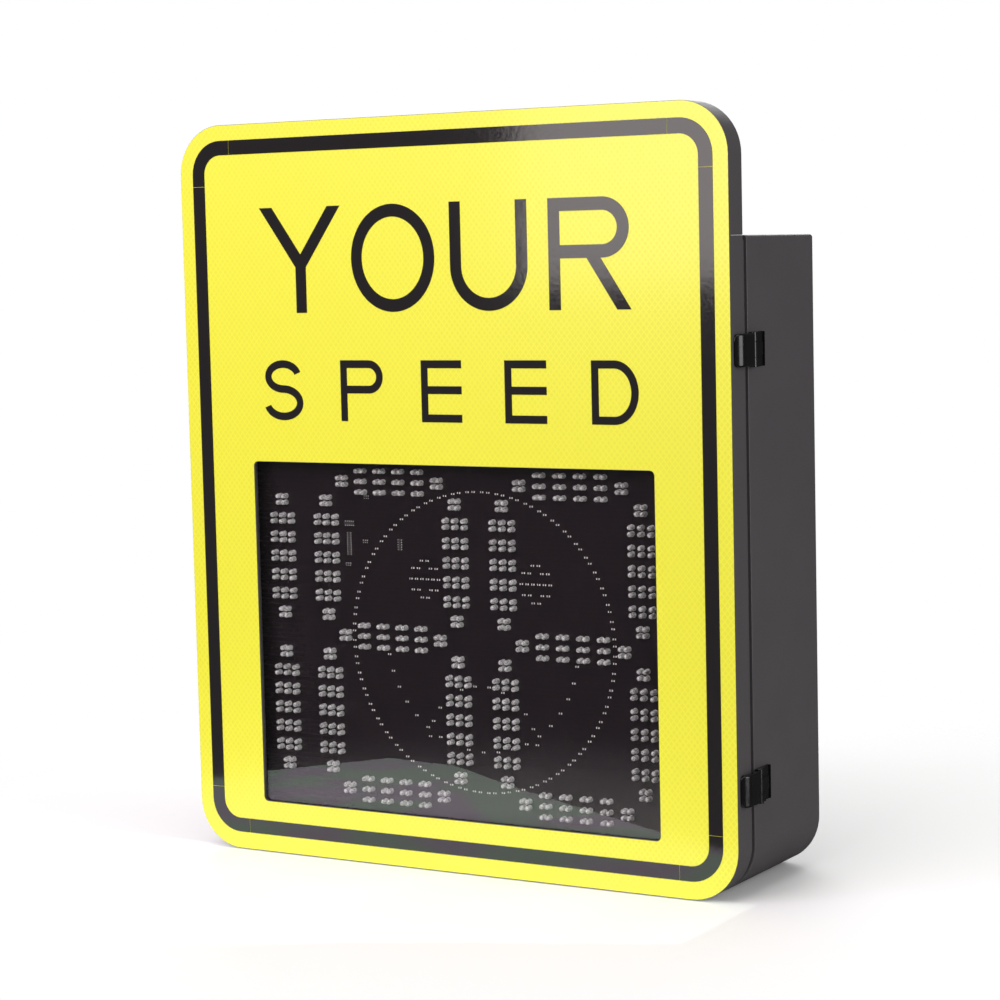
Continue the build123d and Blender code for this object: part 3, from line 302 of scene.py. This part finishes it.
finishes = {
    "sheeting": prismaticSheeting(),
    "plate": brushedAluminium(),
    "black_film": vinylFilm(),
    "rubber": moulded("mouldedRubber", "141414", "1B1B1B", 0.6),  # matt, with a dusty bloom
    "clear_pane": clearPane(),
    "coated_metal": powderCoat(),
    "zinc_steel": plated("zincPlatedSteel", "C3C2BC", 0.24, 0.42, 1.5),  # bright zinc, faintly warm
    "board": maskedBoard(),
    "led_lens": lensEpoxy(),
    "emblem_chip": moulded("mouldedEpoxyPackage", "1A181A", "242124", 0.45, 0.5, 0.01),  # dull, dark
    "package": moulded("transferMouldedPackage", "1B1A1C", "262427", 0.5, 0.5, 0.01),  # black, fine grain
    "radar_cover": moulded("mouldedAbsCover", "D8D6CE", "E2E0D9", 0.45),  # ivory, satin
    "black_plastic": moulded("mouldedNylon", "171617", "1E1D1E", 0.4),  # black, half matt
    "rocker_red": moulded("mouldedRedAbs", "A3130F", "B31914", 0.28),  # signal red, smooth
    "battery_case": moulded("mouldedBatteryCase", "26282B", "2F3134", 0.5, 1.2, 0.05),  # grey, coarse grain
    "lead": plated("castLead", "6E7074", 0.45, 0.65, 2.0, 0.05),  # dull blue-grey, faintly pitted
    "wire": insulatedWire(),
    "controller_case": moulded("mouldedControllerCase", "3E4750", "475059", 0.42, 0.9),  # slate, satin
    "terminal_green": moulded("mouldedPolyamide", "2C7A46", "348650", 0.42, 0.6),  # mid green, satin
    "rail_metal": galvanisedSteel(),
    "brass_stud": plated("turnedBrass", "C9A25A", 0.2, 0.35, 0.6),  # yellow, bright from the tool
}
lacquered = moulded("glossLacqueredSteel", "0E0D0E", "131213", 0.18, 2.5, 0.015)  # stoved gloss black
greenMask = greenBoard()
glintWhiteTin = plated("paintedGlintTin", "FFFFFB", 0.35, 0.55, 0.4, metallic=0.0)  # tinned legs and chip ends painted near white, pale in any light: a painted glint
cupSilver = plated("silverPlatedLeadframe", "8E8C88", 0.2, 0.4, 0.5)  # dull silver under the lens

# nodes whose finish differs from their slot's usual one: the latches, hinges and rivets are lacquered
ownFinish = {"control_board": greenMask}
for name in ("latch_bases", "latch_lever_upper", "latch_lever_lower", "latch_keepers",
             "hinge_door_leaves", "hinge_case_leaves", "door_rivets", "case_rivets"):
    ownFinish[name] = lacquered
for name, node in nodes.items():
    wanted = ownFinish.get(name) or finishes[node.data.materials[0].name.split(".")[0]]
    node.data.materials.clear()
    node.data.materials.append(wanted)
print("finishes on", len(nodes), "nodes")

sharpAngle = math.radians(38)


def newPiece(name, points, faces, materials, body, replaced=(), which=None, smooth=True):
    # makes one piece that rides a body; `which` gives the material index of every face
    mesh = bpy.data.meshes.new(name)
    mesh.from_pydata(points, [], faces)
    for material in materials:
        mesh.materials.append(material)
    if which is not None:
        mesh.polygons.foreach_set("material_index", np.asarray(which, dtype=np.int32))
    shape = bmesh.new()
    shape.from_mesh(mesh)
    bmesh.ops.recalc_face_normals(shape, faces=shape.faces)
    shape.to_mesh(mesh)
    shape.free()
    mesh.polygons.foreach_set("use_smooth", np.full(len(mesh.polygons), smooth))
    if smooth:
        mesh.set_sharp_from_angle(angle=sharpAngle)
    piece = bpy.data.objects.new(name, mesh)
    scene.collection.objects.link(piece)
    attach(piece, body)
    if replaced:
        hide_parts(*replaced)
    return piece


def lathe(profile, steps):
    # radius and height pairs turned about the height axis: x = r cos t, y = -h, z = r sin t;
    # the first and last pairs lie on the axis and close the ends with one point each
    profile = np.asarray(profile, dtype=float)
    turn = np.arange(steps) * 2 * math.pi / steps
    radius, height = profile[1:-1, 0], profile[1:-1, 1]
    ring = np.stack([np.outer(radius, np.cos(turn)), np.repeat(-height[:, None], steps, 1),
                     np.outer(radius, np.sin(turn))], axis=2).reshape(-1, 3)
    points = np.vstack([ring, [(0, -profile[0, 1], 0), (0, -profile[-1, 1], 0)]])
    here = np.arange(steps)
    after = (here + 1) % steps
    faces = []
    for row in range(len(radius) - 1):
        faces += np.stack([row * steps + here, row * steps + after,
                           (row + 1) * steps + after, (row + 1) * steps + here], axis=1).tolist()
    last = (len(radius) - 1) * steps
    faces += np.stack([here, after, np.full(steps, len(ring))], axis=1).tolist()
    faces += np.stack([last + here, last + after, np.full(steps, len(ring) + 1)], axis=1).tolist()
    return points, faces


def brick(low, high, chamfer=0.0):
    # a box between two corners whose front edges (towards -y) draw in by the chamfer
    (x0, y0, z0), (x1, y1, z1) = low, high
    c = chamfer
    rings = [[(x0, y1, z0), (x1, y1, z0), (x1, y1, z1), (x0, y1, z1)],
             [(x0, y0 + c, z0), (x1, y0 + c, z0), (x1, y0 + c, z1), (x0, y0 + c, z1)]]
    if c:
        rings.append([(x0 + c, y0, z0 + c), (x1 - c, y0, z0 + c), (x1 - c, y0, z1 - c), (x0 + c, y0, z1 - c)])
    last = 4 * len(rings) - 4
    faces = [(0, 1, 2, 3), (last, last + 1, last + 2, last + 3)]
    for start in range(0, last, 4):
        faces += [(start + i, start + (i + 1) % 4, start + (i + 1) % 4 + 4, start + i + 4) for i in range(4)]
    return np.array(sum(rings, [])), faces


def joined(parts):
    # one set of points and faces from several (points, faces, material index) parts
    points, faces, which, total = [], [], [], 0
    for some, theirs, index in parts:
        points.append(some)
        faces += [tuple(int(v) + total for v in face) for face in theirs]
        which += [index] * len(theirs)
        total += len(some)
    return np.vstack(points), faces, which


def stamped(part, places):
    # copies one part to every place at once: each copy's points are the part's plus its place
    points, faces, which = part
    places = np.asarray(places, dtype=float)
    allPoints = (points[None, :, :] + places[:, None, :]).reshape(-1, 3)
    sizes = [len(face) for face in faces]
    flat = np.concatenate([np.asarray(face) for face in faces])
    everyFlat = (flat[None, :] + (np.arange(len(places)) * len(points))[:, None]).reshape(-1).tolist()
    allFaces, start = [], 0
    for size in sizes * len(places):
        allFaces.append(everyFlat[start:start + size])
        start += size
    return allPoints, allFaces, list(which) * len(places)


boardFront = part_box("display_board")[0][1]


def onBoard(part, places):
    # copies a millimetre part to millimetre places (x, z) on the front of the display board
    points, faces, which = part
    spots = np.stack([places[:, 0] * mm, np.full(len(places), boardFront), places[:, 1] * mm], axis=1)
    return stamped((points * mm, faces, which), spots)


# Round LEDs, in mm: a domed lens over two legs, one of which carries the cup with the chip in it.
led = {"radius": 2.5, "flange": 2.85, "lead": 1.0, "height": 8.6, "cupTop": 5.7, "cupFoot": 4.4, "cup": 1.35,
       "cupDepth": 0.7, "cupFootShare": 0.62, "cupLipShare": 0.8, "cupFloorShare": 0.4,
       "legIn": 0.85, "legOut": 1.45, "legHalf": 0.3, "legShort": 0.4,
       "shelfEnd": 0.5, "shelfHalf": 0.9, "shelfDrop": 0.1, "shelfRise": 0.5,
       "domeSteps": (0, 35, 68), "lensSides": 12, "cupSides": 8}
layout = {"lane": 11.0, "pair": 6.6, "stackPitch": 19.77, "stackGroups": 7, "runPitch": 23.0, "runGroups": 6,
          "half": 160.0, "stackOffset": 80.05, "narrow": 60.0}
pair = np.array([-0.5, 0.5]) * layout["pair"]
block = [(x, z) for x in pair for z in pair]
wideGroup = [(x * layout["lane"], z) for x in (-1, 0, 1) for z in pair]
tallGroup = [(x, z * layout["lane"]) for x in pair for z in (-1, 0, 1)]


def segment(column, level, count, inner, step):
    # groups in a straight row about its middle: blocks of four at the ends, groups of six between
    kinds = [block] + [inner] * (count - 2) + [block]
    return np.vstack([np.array(kind) + (column, level) + (group - (count - 1) / 2) * step
                      for group, kind in enumerate(kinds)])


def columnPair(column, level):
    # the two upright segments of one side of a digit
    step = np.array([0.0, layout["stackPitch"]])
    count, offset = layout["stackGroups"], layout["stackOffset"]
    return np.vstack([segment(column, level + side * offset, count, wideGroup, step) for side in (-1, 1)])


def digitPlaces(node):
    # millimetre places of one digit's LEDs, from its node's own box; a narrow digit is a 1
    low, high = [np.array(corner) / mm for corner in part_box(node)]
    level = (low[2] + high[2]) / 2
    left = low[0] + led["flange"] + layout["lane"]
    if high[0] - low[0] < layout["narrow"]:
        return columnPair(left, level)
    right = high[0] - led["flange"] - layout["lane"]
    step, count, middle = np.array([layout["runPitch"], 0.0]), layout["runGroups"], (left + right) / 2
    runs = [segment(middle, level + rise * layout["half"], count, tallGroup, step) for rise in (-1, 0, 1)]
    return np.vstack([columnPair(left, level), columnPair(right, level), *runs])


def ledLens():
    # flange, barrel and dome turned about the LED's axis: r cos t out, height - r + r sin t up
    radius, flange, height = led["radius"], led["flange"], led["height"]
    profile = [(0, 0.0), (flange, 0.0), (flange, led["lead"]), (radius, led["lead"])]
    profile += [(radius * math.cos(t), height - radius + radius * math.sin(t))
                for t in np.radians(led["domeSteps"])]
    return joined([(*lathe(profile + [(0, height)], led["lensSides"]), 0)])


def ledFrame():
    # the cup on its shelf, with one leg under it and a shorter one beside it
    cup, foot, top = led["cup"], led["cupFoot"], led["cupTop"]
    near, far, half, floor = led["legIn"], led["legOut"], led["legHalf"], led["cupTop"] - led["cupDepth"]
    profile = [(0, foot), (cup * led["cupFootShare"], foot), (cup, top), (cup * led["cupLipShare"], top),
               (cup * led["cupFloorShare"], floor), (0, floor)]
    pieces = [lathe(profile, led["cupSides"]),
              brick((-far, -foot, -half), (-near, 0, half)),
              brick((near, led["legShort"] - top, -half), (far, 0, half)),
              brick((-far, -foot - led["shelfDrop"], -led["shelfHalf"]),
                    (led["shelfEnd"], led["shelfRise"] - foot, led["shelfHalf"]))]
    return joined([(points, faces, 0) for points, faces in pieces])


lens, leadframe = ledLens(), ledFrame()
everyLed = []
for digit in ("left", "middle", "right"):
    node = f"leds_{digit}_digit"
    everyLed.append(digitPlaces(node))
    for word, part, material in (("lenses", lens, finishes["led_lens"]),
                                 ("leadframes", leadframe, cupSilver)):
        points, faces, which = onBoard(part, everyLed[-1])
        newPiece(f"{digit}_digit_{word}", points, faces, [material], "door", (node,))
    print(digit, "digit LEDs", len(everyLed[-1]))


# Emblem, in mm: chip LEDs on the board in a ring with two eyes, a smile and a frown. The two arcs
# give radius, centre, middle angle, step angle and count; each eye row its rise and reaches.
emblem = {"shift": 26.5, "ring": 152.6, "ringPairs": 56, "split": 7.1, "eyeReach": 65.0, "eyeRise": 62.0,
          "smile": (111.3, 0.0, 270, 9.0, 19), "frown": (63.4, -107.5, 90, 15.0, 12),
          "length": 3.2, "width": 1.6, "height": 0.8, "end": 0.72, "room": 0.6,
          "endChamfer": 0.12, "bodyChamfer": 0.1, "bodyDrop": 0.1, "bodyInset": 0.08}
eyeRows = [(18.8, (3.4,)), (11.0, (7.2, 14.0)), (0.0, (3.3, 9.9, 16.5)), (-11.0, (7.2, 14.0)),
           (-18.8, (3.4,))]


def arcChips(radius, centre, middle, step, count):
    # chips on an arc, evenly to both sides of its middle angle: x = r cos a, z = centre + r sin a
    angle = np.radians(middle + step * (np.arange(count) - (count - 1) / 2))
    return np.stack([radius * np.cos(angle), centre + radius * np.sin(angle)], axis=1)


digitLow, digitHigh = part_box("leds_middle_digit")
displayMiddle = (digitLow[2] + digitHigh[2]) / 2 / mm
halfSplit = math.degrees(emblem["split"] / emblem["ring"] / 2)
ringStep = 360 / emblem["ringPairs"]
chips = [arcChips(emblem["ring"], 0, 90 + side * halfSplit, ringStep, emblem["ringPairs"])
         for side in (-1, 1)]
chips += [arcChips(*emblem["smile"]), arcChips(*emblem["frown"])]
for eye in (-emblem["eyeReach"], emblem["eyeReach"]):
    chips.append(np.array([(eye + side * reach, emblem["eyeRise"] + rise)
                           for rise, reaches in eyeRows for reach in reaches for side in (-1, 1)]))
chips = np.vstack(chips) + (emblem["shift"], displayMiddle)
apart = np.abs(chips[:, None, :] - np.vstack(everyLed)[None, :, :])
reach = led["flange"] + emblem["length"] / 2  # a chip nearer to a round LED than this is left out
clear = ((apart[:, :, 0] > reach + emblem["room"]) | (apart[:, :, 1] > reach)).all(axis=1)
chips = chips[clear]
long, wide, tall, end = emblem["length"] / 2, emblem["width"] / 2, emblem["height"], emblem["end"]
low, slim = emblem["bodyDrop"] - tall, wide - emblem["bodyInset"]
chip = joined([
    (*brick((-long, -tall, -wide), (-long + end, 0, wide), emblem["endChamfer"]), 1),
    (*brick((-long + end, low, -slim), (long - end, 0, slim), emblem["bodyChamfer"]), 0),
    (*brick((long - end, -tall, -wide), (long, 0, wide), emblem["endChamfer"]), 1)])
points, faces, which = onBoard(chip, chips)
# the chips' tinned ends are painted near white as glints
newPiece("emblem_chips", points, faces, [finishes["emblem_chip"], glintWhiteTin], "door",
         ("emblem_leds",), which, smooth=False)
print("emblem chips", len(chips))


# Driver packages, in mm: moulded bodies with tinned legs, each given by x, z, width and height.
package = {"rise": 1.4, "backRise": 2.4, "pitch": 2.45, "leg": 0.7, "foot": 0.7, "footRise": 0.45, "reach": 1.1,
           "slim": 4.0, "slimReach": 0.45, "fullReach": 0.9, "endRoom": 0.15, "legRoom": 1.0,
           "chamfer": 0.25, "backSize": (18.0, 10.5), "backX": (-160, -80, 0, 80, 160),
           "backZ": (-100, 0, 100)}
frontPackages = [(-128.7, 116.3, 12.4, 5.0), (-129.4, 95.3, 4.8, 24.0), (-67.4, 96.2, 4.8, 12.0),
                 (-109.5, 98.1, 6.0, 3.0), (-131.0, 73.8, 8.0, 3.0), (-107.0, 143.8, 6.0, 3.0)]


def packageParts(x, z, across, up, near, rise, outward):
    # body between two rows of legs on the long sides; outward is -1 in front of the board, 1 behind
    level = across >= up
    long, short = (across, up) if level else (up, across)
    count = int((long - package["legRoom"]) / package["pitch"]) + 1
    steps = (np.arange(count) - (count - 1) / 2) * package["pitch"]
    tuck = package["reach"] * (package["fullReach"] if short > package["slim"] else package["slimReach"])
    halfFoot = package["foot"] / 2

    def slab(along, aside, halfLong, halfShort, height, chamfer=0.0):
        # a brick on the board's face, given along and across the package; behind, it is mirrored in y
        cx, cz, hx, hz = (along, aside, halfLong, halfShort) if level else (aside, along, halfShort, halfLong)
        low, high = sorted((-near * outward, -(near * outward + height)))
        cx, cz = x + cx, z + cz
        points, faces = brick((cx - hx, low, cz - hz), (cx + hx, high, cz + hz), chamfer)
        return points * (1, -outward, 1), faces

    made = [(*slab(0, 0, long / 2 - package["endRoom"], short / 2 - tuck, rise, package["chamfer"]), 0)]
    halfLeg, edge = package["leg"] / 2, short / 2 - halfFoot
    made += [(*slab(step, side * edge, halfLeg, halfFoot, package["footRise"]), 1)
             for step in steps for side in (-1, 1)]
    return made


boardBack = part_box("display_board")[1][1]
paneLow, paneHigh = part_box("window_pane")
windowMiddle = (paneLow[2] + paneHigh[2]) / 2 / mm
packages = [(x, displayMiddle + z, across, up, boardFront / mm, package["rise"], -1)
            for x, z, across, up in frontPackages]
packages += [(x, windowMiddle + z, *package["backSize"], boardBack / mm, package["backRise"], 1)
             for x in package["backX"] for z in package["backZ"]]
points, faces, which = joined([part for one in packages for part in packageParts(*one)])
# the packages' tinned legs are painted near white as glints
newPiece("driver_packages", points * mm, faces, [finishes["package"], glintWhiteTin], "door",
         ("board_chips",), which, smooth=False)
print("driver packages", len(packages))


# Stage: floor, the glowing card that paints a reflection in the window, five lamps, backdrop and camera, in
# metres.
floorLevel = cadLow[2] - 0.001


def lightCard(name, centre, target, size, power, colour="FFFFFF"):
    # a soft rectangular lamp facing its target, out of the camera's sight
    lamp = bpy.data.lights.new(name, "AREA")
    lamp.shape = "RECTANGLE"
    lamp.size, lamp.size_y = size
    lamp.energy = power
    lamp.color = linear(colour)[:3]
    holder = bpy.data.objects.new(name, lamp)
    holder.location = centre
    holder.rotation_mode = "QUATERNION"
    holder.rotation_quaternion = (Vector(target) - Vector(centre)).to_track_quat("-Z", "Y")
    holder.visible_camera = False
    scene.collection.objects.link(holder)


def stagePiece(name, outline, level, material):
    # one flat face at a level, outside the part
    points, faces = [(x, y, level) for x, y in outline], [tuple(range(len(outline)))]
    mesh = bpy.data.meshes.new(name)
    mesh.from_pydata(points, [], faces)
    mesh.materials.append(material)
    piece = bpy.data.objects.new(name, mesh)
    scene.collection.objects.link(piece)
    return piece


floorPlan = {"reach": 2.0, "fade": (0.35, 1.05), "clothRise": 0.0004}


def floorFinish():
    # plain matt white floor that fades into the white backdrop a little way out
    material, tree, shader, place = startFinish("paintedFloor", "F6F6F5", Roughness=0.7)
    far = add(tree, "ShaderNodeVectorMath", {"operation": "LENGTH"}, {0: place}).outputs["Value"]
    fade = spread(tree, far, 0.0, 1.0, *floorPlan["fade"], "SMOOTHSTEP")
    surfaceMix(tree, fade, shader, add(tree, "ShaderNodeBsdfTransparent"))
    return material


def glowCardFinish():
    # a card on the floor in front of the sign that glows by itself and is seen only in the window: a painted
    # reflection, grey-green with soft patches of violet
    material, tree, shader, place = startFinish("glowingReflectionCard", "D8EEDD", Roughness=0.8, Emission_Strength=1.1)
    patch = spread(tree, grain(tree, place, 110, 1.0), 0.0, 1.0, 0.46, 0.58)
    shade = tint(tree, patch, "D0F0D8", "E4D6EC")
    tree.links.new(shade, shader.inputs["Base Color"])
    tree.links.new(shade, shader.inputs["Emission Color"])
    return material


reach = floorPlan["reach"]
floorCorners = [(-reach, -reach), (reach, -reach), (reach, reach), (-reach, reach)]
floor = stagePiece("floor", floorCorners, floorLevel, floorFinish())
floor.visible_glossy = False

glowCardCorners = [(-0.62, -0.30), (-0.50, -0.56), (-0.40, -0.70), (-0.30, -0.69), (-0.155, -0.60),
                (0.093, -0.466), (0.33, -0.36), (0.33, -0.20), (-0.62, -0.20)]
# a glowing card seen only in the window's mirror: a painted reflection
glowCard = stagePiece("glowCard", glowCardCorners, floorLevel + floorPlan["clothRise"], glowCardFinish())
glowCard.visible_camera = False
glowCard.visible_diffuse = False
glowCard.visible_shadow = False
glowCard.visible_transmission = False

middle = (0.0, -0.21, 0.06)
lightCard("keySoftbox", (-0.4, -2.6, 1.14), (-0.4, 0, 1.14), (1.8, 1.8), 45, "FFF6F4")
lightCard("upperVeil", (-2.2, -2.6, 1.8), (-2.2, 0, 1.8), (1.8, 1.6), 50, "FFE2FF")
lightCard("overheadSoftbox", (0.0, -0.8, 2.6), middle, (2.4, 2.4), 34)
lightCard("sideSoftbox", (2.8, -0.5, 0.5), middle, (1.6, 2.4), 44)
lightCard("backFill", (-1.2, 2.6, 1.0), (0, 0, 0), (2.6, 2.0), 60)

# the backdrop is white to the eye, dimmer as a light, and nearly dark in mirrors
world = bpy.data.worlds.new("studio")
scene.world = world
world.use_nodes = True
tree = world.node_tree
tree.nodes.clear()
seen = add(tree, "ShaderNodeBackground", {"Color": linear("FFFFFF"), "Strength": 1.0})
around = add(tree, "ShaderNodeBackground", {"Color": linear("F8F7F8"), "Strength": 0.3})
dim = add(tree, "ShaderNodeBackground", {"Color": linear("F4F4F6"), "Strength": 0.05})
ray = add(tree, "ShaderNodeLightPath")
mirrored = maths(tree, "MAXIMUM", ray.outputs["Is Glossy Ray"], ray.outputs["Is Transmission Ray"])
unseen = add(tree, "ShaderNodeMixShader", None, {0: mirrored, 1: around.outputs[0], 2: dim.outputs[0]})
whole = add(tree, "ShaderNodeMixShader", None, {
    0: ray.outputs["Is Camera Ray"], 1: unseen.outputs[0], 2: seen.outputs[0]})
add(tree, "ShaderNodeOutputWorld", None, {"Surface": whole.outputs[0]})

cameraPlan = {"azimuth": 30.75, "elevation": 5.28, "roll": -1.33, "place": (1.4000, -2.4599, 0.3048),
              "lens": 95.76, "sensor": 36.0}
turn, rise, roll = [math.radians(cameraPlan[key]) for key in ("azimuth", "elevation", "roll")]
back = np.array([math.sin(turn) * math.cos(rise), -math.cos(turn) * math.cos(rise), math.sin(rise)])
right = np.array([math.cos(turn), math.sin(turn), 0.0])
up = np.cross(back, right)
turnedRight = right * math.cos(roll) + up * math.sin(roll)
turnedUp = up * math.cos(roll) - right * math.sin(roll)
lensData = bpy.data.cameras.new("camera")  # looks along -back
lensData.lens = cameraPlan["lens"]
lensData.sensor_width = cameraPlan["sensor"]
camera = bpy.data.objects.new("camera", lensData)
placement = np.eye(4)
placement[:3, :3] = np.stack([turnedRight, turnedUp, back], axis=1)
placement[:3, 3] = cameraPlan["place"]
camera.matrix_world = Matrix(placement.tolist())
scene.collection.objects.link(camera)
scene.camera = camera
print("camera and lights ready")
